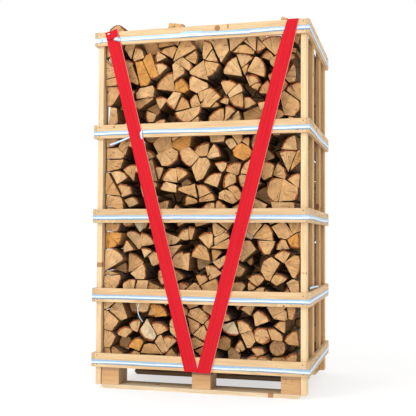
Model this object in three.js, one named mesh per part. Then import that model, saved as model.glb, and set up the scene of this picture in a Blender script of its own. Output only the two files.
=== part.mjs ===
// A tall firewood crate on a block pallet.
//
// Rings of sawn boards are nailed round eight upright posts, each ring is tied with a steel strap, and
// three rows of split logs are stacked inside. Two webbing straps make a V across the open front.
//
// Units are millimetres, +Z is up, -Y is the front. The origin is on the floor, under the middle of the crate.

import * as THREE from 'three';

// ---------------------------------------------------------------------------------------------------
// Driving dimensions

const WIDTH = 1200; // outside of the rings, along X
const DEPTH = 920; // outside of the rings, along Y
const RING_TOPS = [193, 548, 983, 1450, 1970]; // top edge of each ring, lowest first

const BOARD = { thick: 18, high: 75 }; // the ring boards
const POST = { thick: 30, wide: 75, foot: 20 }; // foot is the corner posts' height above the floor
const SIDE_POST_THICK = 20; // the two posts between the corners are thinner
const POST_ROWS = [-404, -155, 155, 404]; // each post's middle along Y
const POST_BELOW_TOP = 5; // the posts stop this far under the top ring's upper edge

const RAIL = { thick: 22, wide: 130, middleWide: 110, endCut: 14 };
const BLOCK = { wide: 102, deep: 130, middleDeep: 100, high: 78 };
const STRINGER_THICK = 22;
const DECK = { thick: 22, wide: 110, count: 5 };
const PALLET_LONG = 1100; // along X, between the posts
const MIDDLE_ROW = { long: 1050, y: 80 }; // shorter than the other two rows, and behind the middle
const MIDDLE_COLUMN_X = 20; // the middle column of blocks is a little to the right
const PALLET_SETBACK = 8; // from the back of the front ring board to the pallet's face

const STRAP = { thick: 1, wide: 24, belowTop: 35, cornerRadius: 1.8 }; // belowTop is to the strap's upper edge
const WEB = { thick: 2.5, wide: 75, bend: 1.6 };

const LOG_ROW_DEEP = 273; // the length of a log, with its share of the gaps
const LOG_ROW_GAP = 6;
const LOG_SIDE_GAP = 2; // from the outermost logs to the posts

const TOUCH = 0.3; // the gap left where two pieces touch
const EDGE = 1.2; // the worn edge of every sawn piece

// ---------------------------------------------------------------------------------------------------
// Levels and faces worked out from the driving dimensions

const half = { x: WIDTH / 2, y: DEPTH / 2 };
const inside = { x: half.x - BOARD.thick, y: half.y - BOARD.thick };
const railTop = RAIL.thick;
const blockTop = railTop + BLOCK.high;
const stringerTop = blockTop + STRINGER_THICK;
const deckTop = stringerTop + DECK.thick;
const crateTop = RING_TOPS[RING_TOPS.length - 1];
const ringOneFoot = RING_TOPS[0] - BOARD.high;
const palletHalfDeep = inside.y - PALLET_SETBACK;
const postInner = inside.x - POST.thick;

// ---------------------------------------------------------------------------------------------------
// Materials

function finish(color, roughness, metalness = 0) {
  return new THREE.MeshStandardMaterial({ color, roughness, metalness });
}

const pine = finish('#e6c48f', 0.75);
const palletWood = finish('#cfa06a', 0.85);
const splitWood = finish('#b98a58', 0.9);
const galvanised = finish('#c3d6e6', 0.35, 0.9);
const redWebbing = finish('#d81f2c', 0.8);

// ---------------------------------------------------------------------------------------------------
// Shapes

const crate = new THREE.Group();

function place(name, geometry, material) {
  const mesh = new THREE.Mesh(geometry, material);
  mesh.name = name;
  crate.add(mesh);
  return mesh;
}

// An outline drawn in X and Z, run along Y from `front` to `back`, with its end edges eased by `edge`.
function runAlongY(outline, front, back, edge) {
  const geometry = new THREE.ExtrudeGeometry(outline, {
    depth: back - front - 2 * edge,
    bevelEnabled: edge > 0,
    bevelThickness: edge,
    bevelSize: edge,
    bevelOffset: -edge,
    bevelSegments: 1,
  });
  geometry.rotateX(Math.PI / 2);
  geometry.translate(0, back - edge, 0);
  return geometry;
}

// A sawn length of timber between two corners, with its edges eased.
function timber(name, material, [x0, x1], [y0, y1], [z0, z1]) {
  const outline = new THREE.Shape([
    new THREE.Vector2(x0, z0),
    new THREE.Vector2(x1, z0),
    new THREE.Vector2(x1, z1),
    new THREE.Vector2(x0, z1),
  ]);
  return place(name, runAlongY(outline, y0, y1, EDGE), material);
}

// ---------------------------------------------------------------------------------------------------
// The pallet: three base rails, nine blocks, three stringers and the deck

const palletRows = [
  { name: 'front', y: -palletHalfDeep + RAIL.wide / 2, wide: RAIL.wide, deep: BLOCK.deep, long: PALLET_LONG },
  { name: 'middle', y: MIDDLE_ROW.y, wide: RAIL.middleWide, deep: BLOCK.middleDeep, long: MIDDLE_ROW.long },
  { name: 'back', y: palletHalfDeep - RAIL.wide / 2, wide: RAIL.wide, deep: BLOCK.deep, long: PALLET_LONG },
];
const palletColumns = [
  { name: 'left', side: -1 },
  { name: 'middle', side: 0 },
  { name: 'right', side: 1 },
];

// The outer blocks stand flush with the ends of the rail they are nailed to.
function columnX(column, long) {
  return column.side === 0 ? MIDDLE_COLUMN_X : (column.side * (long - BLOCK.wide)) / 2;
}

// A base rail's lower corners are sawn off at both ends, so that it slides over a sill.
function baseRail(row) {
  const end = row.long / 2;
  const outline = new THREE.Shape([
    new THREE.Vector2(-end + RAIL.endCut, 0),
    new THREE.Vector2(end - RAIL.endCut, 0),
    new THREE.Vector2(end, RAIL.endCut),
    new THREE.Vector2(end, railTop),
    new THREE.Vector2(-end, railTop),
    new THREE.Vector2(-end, RAIL.endCut),
  ]);
  const geometry = runAlongY(outline, row.y - row.wide / 2, row.y + row.wide / 2, 0);
  place(`base_rail_${row.name}`, geometry, palletWood);
}

for (const row of palletRows) {
  baseRail(row);
  for (const column of palletColumns) {
    const x = columnX(column, row.long);
    timber(
      `block_${row.name}_${column.name}`,
      palletWood,
      [x - BLOCK.wide / 2, x + BLOCK.wide / 2],
      [row.y - row.deep / 2, row.y + row.deep / 2],
      [railTop + TOUCH, blockTop],
    );
  }
}

for (const column of palletColumns) {
  const x = columnX(column, PALLET_LONG);
  timber(
    `stringer_${column.name}`,
    palletWood,
    [x - BLOCK.wide / 2, x + BLOCK.wide / 2],
    [-palletHalfDeep, palletHalfDeep],
    [blockTop + TOUCH, stringerTop],
  );
}

const deckPitch = (2 * palletHalfDeep - DECK.wide) / (DECK.count - 1);
for (let i = 0; i < DECK.count; i += 1) {
  const front = -palletHalfDeep + i * deckPitch;
  timber(
    `deck_board_${i + 1}`,
    palletWood,
    [-PALLET_LONG / 2, PALLET_LONG / 2],
    [front, front + DECK.wide],
    [stringerTop + TOUCH, deckTop],
  );
}

// ---------------------------------------------------------------------------------------------------
// The rings: the side boards run the full depth, and the front and back boards fit between them

function ring(number, top) {
  const heights = [top - BOARD.high, top];
  const across = [-inside.x + TOUCH, inside.x - TOUCH];
  const along = [-half.y, half.y];
  timber(`ring_${number}_front_board`, pine, across, [-half.y, -inside.y], heights);
  timber(`ring_${number}_back_board`, pine, across, [inside.y, half.y], heights);
  timber(`ring_${number}_left_board`, pine, [-half.x, -inside.x], along, heights);
  timber(`ring_${number}_right_board`, pine, [inside.x, half.x], along, heights);
}

// A steel strap lies flat round the outside of its ring, with the corners bent round the boards' edges.
function roundedRectangle(Outline, x, y, radius) {
  const outline = new Outline();
  outline.moveTo(x, -y + radius);
  outline.lineTo(x, y - radius);
  outline.absarc(x - radius, y - radius, radius, 0, Math.PI / 2, false);
  outline.lineTo(-x + radius, y);
  outline.absarc(-x + radius, y - radius, radius, Math.PI / 2, Math.PI, false);
  outline.lineTo(-x, -y + radius);
  outline.absarc(-x + radius, -y + radius, radius, Math.PI, 1.5 * Math.PI, false);
  outline.lineTo(x - radius, -y);
  outline.absarc(x - radius, -y + radius, radius, 1.5 * Math.PI, 2 * Math.PI, false);
  return outline;
}

function strap(number, top) {
  const inner = { x: half.x + TOUCH, y: half.y + TOUCH, r: STRAP.cornerRadius };
  const outline = roundedRectangle(
    THREE.Shape,
    inner.x + STRAP.thick,
    inner.y + STRAP.thick,
    inner.r + STRAP.thick,
  );
  outline.holes.push(roundedRectangle(THREE.Path, inner.x, inner.y, inner.r));
  const geometry = new THREE.ExtrudeGeometry(outline, {
    depth: STRAP.wide,
    bevelEnabled: false,
    curveSegments: 4,
  });
  geometry.translate(0, 0, top - STRAP.belowTop - STRAP.wide);
  place(`strap_ring_${number}`, geometry, galvanised);
}

RING_TOPS.forEach((top, i) => {
  ring(i + 1, top);
  strap(i + 1, top);
});

// ---------------------------------------------------------------------------------------------------
// The posts: the four corner posts run down outside the pallet, and the others stand inside ring one

POST_ROWS.forEach((y, i) => {
  const isCorner = i === 0 || i === POST_ROWS.length - 1;
  const heights = [isCorner ? POST.foot : ringOneFoot, crateTop - POST_BELOW_TOP];
  const along = [y - POST.wide / 2, y + POST.wide / 2];
  const inner = isCorner ? postInner : inside.x - SIDE_POST_THICK;
  timber(`post_left_${i + 1}`, pine, [-inside.x + TOUCH, -inner], along, heights);
  timber(`post_right_${i + 1}`, pine, [inner, inside.x - TOUCH], along, heights);
});

// ---------------------------------------------------------------------------------------------------
// The webbing: flat straps that run up the front across the rings
//
// A band is a list of stations from its tucked lower end to its upper end. Each station holds the middle of
// the band, the direction across it, the direction out of its outer face and its width along `across`.

function bandGeometry(stations) {
  const count = stations.length - 1;
  const geometry = new THREE.BoxGeometry(1, 1, 1, 1, count, 1);
  const points = geometry.attributes.position;
  for (let i = 0; i < points.count; i += 1) {
    const station = stations[Math.round((points.getY(i) + 0.5) * count)];
    const at = station.middle.clone();
    at.addScaledVector(station.across, points.getX(i) * station.wide);
    at.addScaledVector(station.out, points.getZ(i) * WEB.thick);
    points.setXYZ(i, at.x, at.y, at.z);
  }
  geometry.computeVertexNormals();
  return geometry;
}

// The stations along a side view of the band, drawn in Y and Z. `slope` is how far the band moves along X for
// each millimetre of its length, so that it stays straight where it folds over a board's edge.
function stationsAlong(sideView, xAtStart, slope, wideAt) {
  const points = sideView.getPoints(3);
  const stations = [];
  let run = 0;
  points.forEach((point, i) => {
    if (i > 0) run += point.distanceTo(points[i - 1]);
    const before = points[Math.max(i - 1, 0)];
    const after = points[Math.min(i + 1, points.length - 1)];
    const along = after.clone().sub(before).normalize();
    stations.push({
      middle: new THREE.Vector3(xAtStart + slope * run, point.x, point.y),
      across: new THREE.Vector3(1, 0, 0),
      out: new THREE.Vector3(0, -along.y, along.x),
      wide: wideAt(point.y) * Math.hypot(1, slope),
    });
  });
  return stations;
}

// The lower end: up behind ring one's front board, turned under it, and out to the front. `layer` is 0 for the
// band next to the board and 1 for the band that wraps over it. `face` is the front plane it comes out on.
function tuckedEnd(layer, face, tuckTop) {
  const off = TOUCH + WEB.thick / 2 + layer * (WEB.thick + TOUCH);
  const under = ringOneFoot - off;
  const behind = -inside.y + off;
  const r = WEB.bend;
  const path = new THREE.Path();
  path.moveTo(behind, tuckTop);
  path.lineTo(behind, under + r);
  path.absarc(behind - r, under + r, r, 0, -Math.PI / 2, true);
  path.lineTo(face + r, under);
  path.absarc(face + r, under + r, r, -Math.PI / 2, -Math.PI, true);
  return path;
}

const frontFace = -half.y - TOUCH - STRAP.thick - TOUCH - WEB.thick / 2;
const wrapFace = frontFace - WEB.thick - TOUCH;
const TUCK_TOP = 150;
const fullWidth = () => WEB.wide;

// The left band ends in a square fold: its upper end is turned forward and down over itself.
function leftBand() {
  const foot = { x: -11, slope: -0.256 };
  const foldHeight = 1972; // of the fold's middle
  const flap = 44;
  const path = tuckedEnd(0, frontFace, TUCK_TOP);
  path.lineTo(frontFace, crateTop - 4 * BOARD.high);
  const stations = stationsAlong(path, foot.x, foot.slope, fullWidth);

  const last = stations[stations.length - 1];
  const angle = Math.atan(-foot.slope);
  const along = new THREE.Vector3(-Math.sin(angle), 0, Math.cos(angle));
  const across = new THREE.Vector3(Math.cos(angle), 0, Math.sin(angle));
  const start = last.middle;
  const length = (foldHeight - start.z) / Math.cos(angle);
  const r = (WEB.thick + TOUCH) / 2;
  const turns = 6;
  const square = (up, forward, out) => ({
    middle: start.clone().addScaledVector(along, up).add(new THREE.Vector3(0, -forward, 0)),
    across,
    out,
    wide: WEB.wide,
  });
  stations.push(square(BOARD.high, 0, new THREE.Vector3(0, -1, 0)));
  for (let i = 0; i <= turns; i += 1) {
    const turn = (Math.PI * i) / turns;
    const out = new THREE.Vector3(0, -Math.cos(turn), 0).addScaledVector(along, -Math.sin(turn));
    stations.push(square(length + r * Math.sin(turn), r * (1 - Math.cos(turn)), out));
  }
  stations.push(square(length - flap, 2 * r, new THREE.Vector3(0, 1, 0)));
  return bandGeometry(stations);
}

// The right band wraps over the left one at the foot, and goes over the top board and a little way down behind.
function rightBand() {
  const foot = { x: 25, slope: 0.2549 };
  const gather = { from: 1800, wide: 58 }; // the band bunches up towards the top board
  const behindLength = 6;
  const off = TOUCH + WEB.thick / 2;
  const over = crateTop + off;
  const behind = -inside.y + off;
  const r = WEB.bend;
  const path = tuckedEnd(1, wrapFace, TUCK_TOP);
  path.lineTo(wrapFace, RING_TOPS[0] + 20);
  path.lineTo(frontFace, RING_TOPS[1] - BOARD.high);
  path.lineTo(frontFace, gather.from);
  path.lineTo(frontFace, over - r);
  path.absarc(frontFace + r, over - r, r, Math.PI, Math.PI / 2, true);
  path.lineTo(behind - r, over);
  path.absarc(behind - r, over - r, r, Math.PI / 2, 0, true);
  path.lineTo(behind, over - behindLength);
  const wideAt = (z) => {
    const share = THREE.MathUtils.clamp((z - gather.from) / (crateTop - gather.from), 0, 1);
    return WEB.wide + share * (gather.wide - WEB.wide);
  };
  return bandGeometry(stationsAlong(path, foot.x, foot.slope, wideAt));
}

place('webbing_left', leftBand(), redWebbing);
place('webbing_right', rightBand(), redWebbing);

// ---------------------------------------------------------------------------------------------------
// The firewood: one solid for each row of logs, with an outline that reaches the tips of the top logs

const heapLevels = { front: crateTop - 20, middle: crateTop + 10, back: crateTop - 20 };
const heaps = {
  front: [
    { x: -490, wide: 120, high: 2019 },
    { x: -150, wide: 150, high: 2009 },
    { x: 470, wide: 70, high: 1999 },
  ],
  middle: [
    { x: -330, wide: 160, high: 1999 },
    { x: 220, wide: 180, high: 2004 },
  ],
  back: [
    { x: -60, wide: 170, high: 1992 },
    { x: 390, wide: 150, high: 1984 },
  ],
};

function logRow(name, front, back) {
  const side = postInner - LOG_SIDE_GAP;
  const foot = deckTop + TOUCH;
  const heapLevel = heapLevels[name];
  const outline = new THREE.Shape();
  outline.moveTo(-side, foot);
  outline.lineTo(side, foot);
  outline.lineTo(side, heapLevel);
  for (const heap of [...heaps[name]].reverse()) {
    outline.lineTo(heap.x + heap.wide / 2, heapLevel);
    outline.lineTo(heap.x + heap.wide / 4, heap.high);
    outline.lineTo(heap.x - heap.wide / 4, heap.high);
    outline.lineTo(heap.x - heap.wide / 2, heapLevel);
  }
  outline.lineTo(-side, heapLevel);
  place(`firewood_row_${name}`, runAlongY(outline, front, back, 0), splitWood);
}

['front', 'middle', 'back'].forEach((name, i) => {
  const middle = (i - 1) * (LOG_ROW_DEEP + LOG_ROW_GAP);
  logRow(name, middle - LOG_ROW_DEEP / 2, middle + LOG_ROW_DEEP / 2);
});

export default crate;
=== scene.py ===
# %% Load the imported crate
import math

import bmesh
import bpy
import numpy as np
from mathutils import Matrix, Vector, noise


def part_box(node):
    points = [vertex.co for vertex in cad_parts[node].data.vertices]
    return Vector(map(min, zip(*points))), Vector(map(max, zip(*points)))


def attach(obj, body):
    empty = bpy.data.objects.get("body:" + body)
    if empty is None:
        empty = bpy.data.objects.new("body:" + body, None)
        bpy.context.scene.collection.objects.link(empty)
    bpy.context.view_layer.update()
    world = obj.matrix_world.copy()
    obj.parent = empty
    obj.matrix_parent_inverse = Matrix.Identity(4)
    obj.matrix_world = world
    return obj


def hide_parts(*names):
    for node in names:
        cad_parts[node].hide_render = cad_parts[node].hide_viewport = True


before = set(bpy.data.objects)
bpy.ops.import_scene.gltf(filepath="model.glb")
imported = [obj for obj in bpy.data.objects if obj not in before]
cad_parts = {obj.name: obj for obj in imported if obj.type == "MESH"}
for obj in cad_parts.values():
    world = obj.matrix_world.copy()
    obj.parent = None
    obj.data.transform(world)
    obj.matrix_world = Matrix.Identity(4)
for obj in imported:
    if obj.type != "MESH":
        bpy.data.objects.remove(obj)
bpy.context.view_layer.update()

# %% [markdown]
# # A tall crate of split firewood
#
# The crate is a block pallet with four posts up each side. Five rings of thin boards are nailed round the
# posts, a steel strap is tensioned round each ring, and two red webbing straps run up the open front in a V.
# Inside stand three rows of split logs, all with their ends to the front and back.
#
# The sawn timber already has its true shape, so it only gets finishes here. The logs, the steel straps, the
# webbing and the nails are made new, because their looks come from many small irregular shapes.
#
# The camera comes first, so that every later choice can be judged from where the crate is looked at: a
# little to the right, below the middle of the crate, and almost level.

# %% Camera
CAMERA_PLACE = Vector((1.107, -4.3726, 0.8164))
CAMERA_YAW, CAMERA_PITCH, CAMERA_ROLL = 0.2615, 0.0418, 0.0054
CAMERA_LENS = 65.93  # on a sensor 36 mm wide


def add_camera():
    made = bpy.data.objects.new("camera", bpy.data.cameras.new("camera"))
    bpy.context.collection.objects.link(made)
    made.data.lens = CAMERA_LENS
    made.data.sensor_width = 36
    turn = Matrix.Rotation(CAMERA_YAW, 4, "Z")
    tilt = Matrix.Rotation(math.pi / 2 + CAMERA_PITCH, 4, "X")
    roll = Matrix.Rotation(CAMERA_ROLL, 4, "Z")
    made.matrix_world = Matrix.Translation(CAMERA_PLACE) @ turn @ tilt @ roll
    bpy.context.scene.camera = made
    return made


camera = add_camera()
print("camera at", CAMERA_PLACE[:])

# %% [markdown]
# ## Small helpers for shader nodes
#
# A finish is a chain of nodes. A few helpers keep the chains readable: `node` adds one and fills its
# sockets with either a value or another node's output, `maths` is the Math node in one call, `mix` is the
# colour Mix node, `ramp` spreads a range over another, and `blotches` is cloudy noise.


# %% Node helpers
def fill(tree, made, sockets):
    for key, value in sockets.items():
        if isinstance(value, bpy.types.NodeSocket):
            tree.links.new(value, made.inputs[key])
        else:
            made.inputs[key].default_value = value
    return made


def node(tree, kind, sockets=None, **settings):
    made = tree.nodes.new("ShaderNode" + kind)
    for key, value in settings.items():
        setattr(made, key, value)
    return fill(tree, made, sockets or {})


def maths(tree, operation, *values, clamp=False):
    made = node(tree, "Math", dict(enumerate(values)), operation=operation, use_clamp=clamp)
    return made.outputs[0]


def vector_maths(tree, operation, *values):
    return node(tree, "VectorMath", dict(enumerate(values)), operation=operation).outputs[0]


def mix(tree, share, first, second, blend="MIX"):
    made = node(tree, "Mix", {0: share, 6: first, 7: second}, data_type="RGBA", blend_type=blend)
    return made.outputs[2]


def ramp(tree, value, low, high, to_low=0.0, to_high=1.0):
    sockets = {"Value": value, "From Min": low, "From Max": high, "To Min": to_low, "To Max": to_high}
    return node(tree, "MapRange", sockets, interpolation_type="SMOOTHSTEP").outputs[0]


def blotches(tree, where, scale, detail=2.0, roughness=0.5):
    sockets = {"Vector": where, "Scale": scale, "Detail": detail, "Roughness": roughness}
    return node(tree, "TexNoise", sockets).outputs["Fac"]


def stretched(tree, where, *scale):
    return vector_maths(tree, "MULTIPLY", where, scale)


def new_group(name, inputs, outputs):
    group = bpy.data.node_groups.new(name, "ShaderNodeTree")
    for title, kind in inputs:
        group.interface.new_socket(title, in_out="INPUT", socket_type="NodeSocket" + kind)
    for title, kind in outputs:
        group.interface.new_socket(title, in_out="OUTPUT", socket_type="NodeSocket" + kind)
    given = group.nodes.new("NodeGroupInput").outputs
    result = group.nodes.new("NodeGroupOutput").inputs
    return group, given, result


def put_group(tree, group, sockets):
    return node(tree, "Group", sockets, node_tree=group).outputs


def new_finish(name, specular=0.3):
    """A material with an empty Principled shader, its node tree and that shader's sockets."""
    finish = bpy.data.materials.new(name)
    finish.use_nodes = True
    tree = finish.node_tree
    shader = tree.nodes["Principled BSDF"]
    shader.inputs["Specular IOR Level"].default_value = specular
    return finish, tree, shader.inputs


def feed(tree, target, value):
    tree.links.new(value, target)


def raise_surface(tree, shader, height, depth):
    """Turns a height from 0 to 1 into relief that is `depth` metres deep."""
    bump = node(tree, "Bump", {"Height": height, "Distance": depth, "Strength": 1.0})
    feed(tree, shader["Normal"], bump.outputs[0])


print("node helpers ready")

# %% [markdown]
# ## Floor and light
#
# The crate stands on a plain pale floor under a wide overcast kind of light. A bright sky does most of the
# work, because firewood shows its depth by the dark gaps between logs, and only soft light from all round
# leaves those gaps dark without hard shadows. One large lamp at the front left gives the boards a bright
# side, and a weaker one straight in front reaches the log ends under each ring. The floor glows a little,
# like a light table, so that it stays white under the pallet and meets the sky without a line.

# %% Floor and light
FLOOR_COLOUR = (0.37, 0.37, 0.37, 1.0)
FLOOR_GLOW = 0.63
SKY_STRENGTH = 1.0


def add_floor():
    mesh = bpy.data.meshes.new("floor")
    bm = bmesh.new()
    bmesh.ops.create_grid(bm, x_segments=2, y_segments=2, size=40)
    bm.to_mesh(mesh)
    bm.free()
    floor = bpy.data.objects.new("floor", mesh)
    bpy.context.collection.objects.link(floor)
    finish, tree, shader = new_finish("pale floor", specular=0.1)
    shader["Base Color"].default_value = FLOOR_COLOUR
    shader["Roughness"].default_value = 0.9
    shader["Emission Color"].default_value = (1, 1, 1, 1)
    shader["Emission Strength"].default_value = FLOOR_GLOW
    mesh.materials.append(finish)


def add_lamp(name, place, aim, size, power):
    lamp = bpy.data.objects.new(name, bpy.data.lights.new(name, "AREA"))
    bpy.context.collection.objects.link(lamp)
    lamp.data.shape = "DISK"
    lamp.data.size = size
    lamp.data.energy = power
    lamp.location = place
    lamp.rotation_mode = "QUATERNION"
    lamp.rotation_quaternion = (Vector(aim) - Vector(place)).to_track_quat("-Z", "Y")


def add_sky():
    sky = bpy.data.worlds.new("sky")
    sky.use_nodes = True
    sky.node_tree.nodes["Background"].inputs["Color"].default_value = (1, 1, 1, 1)
    sky.node_tree.nodes["Background"].inputs["Strength"].default_value = SKY_STRENGTH
    bpy.context.scene.world = sky


add_floor()
add_sky()
add_lamp("front left lamp", (-2.6, -4.6, 4.2), (0, 0, 1.0), 2.6, 125)
add_lamp("low front lamp", (1.2, -5.6, 1.4), (0, 0, 1.7), 3.4, 42)
bpy.context.scene.view_settings.view_transform = "Standard"
print("floor, sky and two lamps")

# %% [markdown]
# ## Sawn pine
#
# A sawn board is a slice of a tree, so its figure is worked out as one: growth rings are circles round a
# pith that lies just outside the board, and wherever a face cuts them they show as long lines, or as arcs on
# the ends. A slow wobble along the board keeps the lines from being straight. Knots are spots scattered
# over the width and length of the board, and the rings bend round them. A board can also have one knot in
# a place of its own, given as how far along and across it is, and how big.
#
# This is one node group. Each board places it with its own seed, its own three directions, along, across
# and through, and its own colours, so no two boards are alike.

# %% Pine figure
RING_WIDTH = 0.0042
KNOTS_PER_METRE = 5.2


def make_pine_figure():
    group, given, result = new_group(
        "pine figure",
        [("Board", "Vector"), ("Seed", "Float"), ("Early wood", "Color"), ("Late wood", "Color"),
         ("Knot wood", "Color"), ("End", "Float"), ("Knottiness", "Float"), ("Own knot", "Vector")],
        [("Color", "Color"), ("Height", "Float"), ("Roughness", "Float")],
    )
    seed = given["Seed"]
    shift = node(group, "CombineXYZ", {0: maths(group, "MULTIPLY", seed, 3.7), 1: 0.0, 2: seed}).outputs[0]
    board = vector_maths(group, "ADD", given["Board"], shift)
    parts = node(group, "SeparateXYZ", {0: given["Board"]}).outputs
    across, through = parts[1], parts[2]

    spots = node(group, "TexVoronoi", {"Vector": board, "Scale": KNOTS_PER_METRE}, voronoi_dimensions="2D")
    chance = node(group, "SeparateColor", {0: spots.outputs["Color"]}).outputs[0]
    rare = maths(group, "SUBTRACT", 1.0, given["Knottiness"])
    own = node(group, "SeparateXYZ", {0: given["Own knot"]}).outputs
    own_place = node(group, "CombineXYZ", {0: own[0], 1: own[1], 2: through}).outputs[0]
    own_away = node(group, "VectorMath", {0: given["Board"], 1: own_place}, operation="DISTANCE")
    own_away = own_away.outputs["Value"]
    is_own = maths(group, "LESS_THAN", own_away, 0.055)
    away = maths(group, "DIVIDE", spots.outputs["Distance"], KNOTS_PER_METRE)
    away = node(group, "Mix", {0: is_own, 2: away, 3: own_away}).outputs[0]
    knot_radius = ramp(group, chance, rare, 1.0, 0.0, 0.017)
    knot_radius = node(group, "Mix", {0: is_own, 2: knot_radius, 3: own[2]}).outputs[0]
    rim = blotches(group, board, 160.0)
    ragged = maths(group, "MULTIPLY_ADD", rim, 0.004, maths(group, "SUBTRACT", away, 0.002))
    knot = maths(group, "DIVIDE", maths(group, "SUBTRACT", knot_radius, ragged), 0.0025, clamp=True)
    near = maths(group, "POWER", maths(group, "DIVIDE", away, 0.022), 2.0)
    swirl = maths(group, "MULTIPLY", maths(group, "EXPONENT", maths(group, "MULTIPLY", near, -1.0)),
                  knot_radius)

    wobble = blotches(group, stretched(group, board, 1.3, 7.0, 7.0), 1.0, 3.0)
    wobble = maths(group, "MULTIPLY_ADD", wobble, 0.03, swirl)
    pith_side = maths(group, "MULTIPLY", maths(group, "SINE", maths(group, "MULTIPLY", seed, 12.9)), 0.03)
    pith_deep = maths(group, "MULTIPLY_ADD", maths(group, "SINE", maths(group, "MULTIPLY", seed, 7.1)),
                      0.02, 0.05)
    side = maths(group, "POWER", maths(group, "ADD", across, pith_side), 2.0)
    deep = maths(group, "POWER", maths(group, "ADD", through, pith_deep), 2.0)
    radius = maths(group, "ADD", maths(group, "SQRT", maths(group, "ADD", side, deep)), wobble)
    turn = maths(group, "MULTIPLY", radius, math.tau / RING_WIDTH)
    wave = maths(group, "MULTIPLY_ADD", maths(group, "SINE", turn), 0.5, 0.5)
    late = maths(group, "POWER", wave, 2.6)

    fibre = blotches(group, stretched(group, board, 9.0, 520.0, 520.0), 1.0, 2.0)
    patch = blotches(group, stretched(group, board, 2.6, 34.0, 34.0), 1.0, 4.0, 0.6)
    grime = ramp(group, blotches(group, board, 34.0, 5.0, 0.7), 0.62, 0.8)

    colour = mix(group, maths(group, "MULTIPLY", late, 0.62), given["Early wood"], given["Late wood"])
    colour = mix(group, maths(group, "MULTIPLY", ramp(group, patch, 0.42, 0.68), 0.5), colour,
                 given["Late wood"])
    colour = mix(group, 0.5, colour, ramp(group, fibre, 0.3, 0.7, 0.7, 1.12), "MULTIPLY")
    knot_rings = maths(group, "SINE", maths(group, "MULTIPLY", away, math.tau / 0.0028))
    knot_shade = maths(group, "MULTIPLY_ADD", knot_rings, 0.12, 0.88)
    knot_colour = mix(group, 1.0, given["Knot wood"], knot_shade, "MULTIPLY")
    colour = mix(group, maths(group, "MULTIPLY", knot, 0.85), colour, knot_colour)
    colour = mix(group, maths(group, "MULTIPLY", grime, 0.22), colour, (0.16, 0.12, 0.09, 1))
    colour = mix(group, maths(group, "MULTIPLY", given["End"], 0.45), colour, (0.40, 0.31, 0.22, 1))
    group.links.new(colour, result["Color"])

    along = node(group, "SeparateXYZ", {0: board}).outputs[0]
    saw_line = maths(group, "SINE", maths(group, "MULTIPLY", along, math.tau / 0.0075))
    saw_line = maths(group, "MULTIPLY", saw_line, blotches(group, board, 12.0))
    height = maths(group, "MULTIPLY_ADD", fibre, 0.6, maths(group, "MULTIPLY", late, 0.25))
    height = maths(group, "MULTIPLY_ADD", saw_line, 0.12, height)
    height = maths(group, "MULTIPLY_ADD", knot, 0.3, height)
    group.links.new(height, result["Height"])
    rough = maths(group, "MULTIPLY_ADD", fibre, 0.2, 0.58)
    group.links.new(maths(group, "MULTIPLY_ADD", given["End"], 0.15, rough), result["Roughness"])
    return group


pine_figure = make_pine_figure()
print("pine figure has", len(pine_figure.nodes), "nodes")

# %% [markdown]
# ## A finish for each board
#
# A board's directions follow from its box: the longest side is along the grain and the shortest is through
# the board. Measuring them means that no list of boards is needed. The blocks under the pallet are nearly
# cubes, so theirs are given: they are cut across from a square post, and their grain lies along X.
#
# The boards come from several trees, so they get a few sets of colours. Three sets are painted light and
# shade rather than wood colour: the two front posts are painted lighter as painted light, the inner posts
# darker as painted shade, and the pieces in the middle of the pallet nearly black as the painted shade under
# the crate.

# %% Finish the sawn timber
CRATE_PINE = ((0.73, 0.525, 0.30, 1), (0.54, 0.30, 0.125, 1), (0.34, 0.13, 0.04, 1))
# painted light: a lighter copy of the pine for the two front posts, where the light falls on them
PAINTED_LIGHT_POST = ((0.86, 0.66, 0.40, 1), (0.66, 0.42, 0.19, 1), (0.40, 0.17, 0.055, 1))
PALLET_WOOD = ((0.66, 0.40, 0.185, 1), (0.47, 0.25, 0.10, 1), (0.28, 0.11, 0.04, 1))
PALE_RAIL = ((0.76, 0.62, 0.43, 1), (0.58, 0.38, 0.18, 1), (0.42, 0.15, 0.04, 1))
# painted shade: a darker copy of the pine for the inner posts, which stand in shade
PAINTED_SHADE_POST = ((0.66, 0.41, 0.18, 1), (0.48, 0.245, 0.085, 1), (0.28, 0.10, 0.03, 1))
# painted shade: the pieces in the middle of the pallet are nearly black as the shade under the crate
PAINTED_SHADE_UNDER_PALLET = ((0.16, 0.092, 0.042, 1), (0.09, 0.048, 0.021, 1), (0.045, 0.022, 0.011, 1))
OWN_KNOTS = {  # along, across and radius, from the board's middle
    "ring_5_front_board": (0.106, 0.018, 0.017), "base_rail_front": (-0.244, 0.0, 0.014),
    "ring_3_front_board": (0.215, 0.012, 0.007),
}


def board_directions(name):
    low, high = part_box(name)
    size = [high[i] - low[i] for i in range(3)]
    if name.startswith("block"):
        return 0, 2, 1
    return sorted(range(3), key=lambda i: -size[i])


def sawn_wood(name, seed, colours, knottiness):
    finish, tree, shader = new_finish(name + " wood")
    low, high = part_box(name)
    middle = [(low[i] + high[i]) / 2 for i in range(3)]
    here = node(tree, "TexCoord").outputs
    local = node(tree, "SeparateXYZ", {0: vector_maths(tree, "SUBTRACT", here["Object"], middle)}).outputs
    along, across, through = board_directions(name)
    board = node(tree, "CombineXYZ", {0: local[along], 1: local[across], 2: local[through]}).outputs[0]
    facing = node(tree, "SeparateXYZ", {0: here["Normal"]}).outputs[along]
    end = ramp(tree, maths(tree, "ABSOLUTE", facing), 0.6, 0.9)
    early, late, knot = colours
    wood = put_group(tree, pine_figure, {
        "Board": board, "Seed": seed, "Early wood": early, "Late wood": late, "Knot wood": knot,
        "End": end, "Knottiness": knottiness, "Own knot": OWN_KNOTS.get(name, (9.0, 9.0, 0.0)),
    })
    feed(tree, shader["Base Color"], wood["Color"])
    feed(tree, shader["Roughness"], wood["Roughness"])
    raise_surface(tree, shader, wood["Height"], 0.0006)
    return finish


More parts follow.
